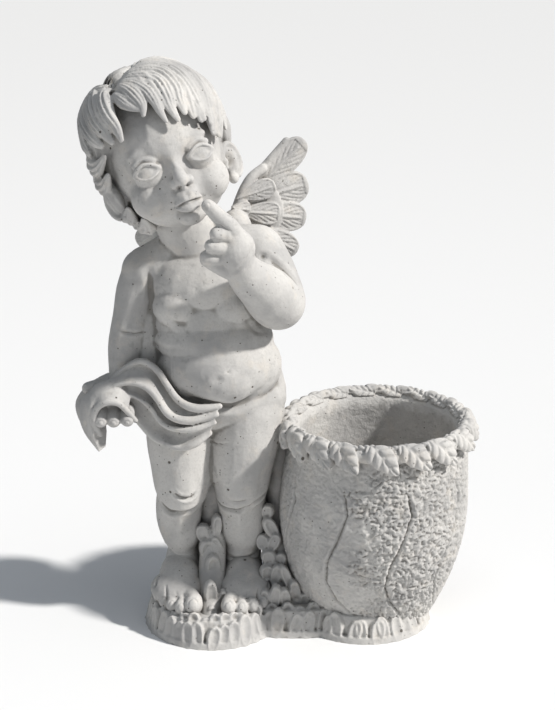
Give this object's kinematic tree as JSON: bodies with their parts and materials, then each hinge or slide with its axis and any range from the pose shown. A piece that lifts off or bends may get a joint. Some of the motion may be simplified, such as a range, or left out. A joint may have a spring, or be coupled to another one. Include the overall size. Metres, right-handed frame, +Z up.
{
  "type": "garden statue with planter",
  "caption": "Winged child standing on a leafy base beside a round open planter, cast as one piece, one hand at the mouth and the other holding a cloth.",
  "frame": {"origin": "on the flat underside, midway across the statue, between the child's part of the base and the pot's", "axes": "+Z up, the front faces -Y, +X is to the viewer's right, where the planter stands"},
  "size_m": [0.4022, 0.2155, 0.5827],
  "materials": {
    "cast_stone": "pale grey cast concrete, dull, fine-grained, with dirt in the hollows"
  },
  "bodies": {
    "root": {"statue": "cast_stone"}
  },
  "joints": []
}
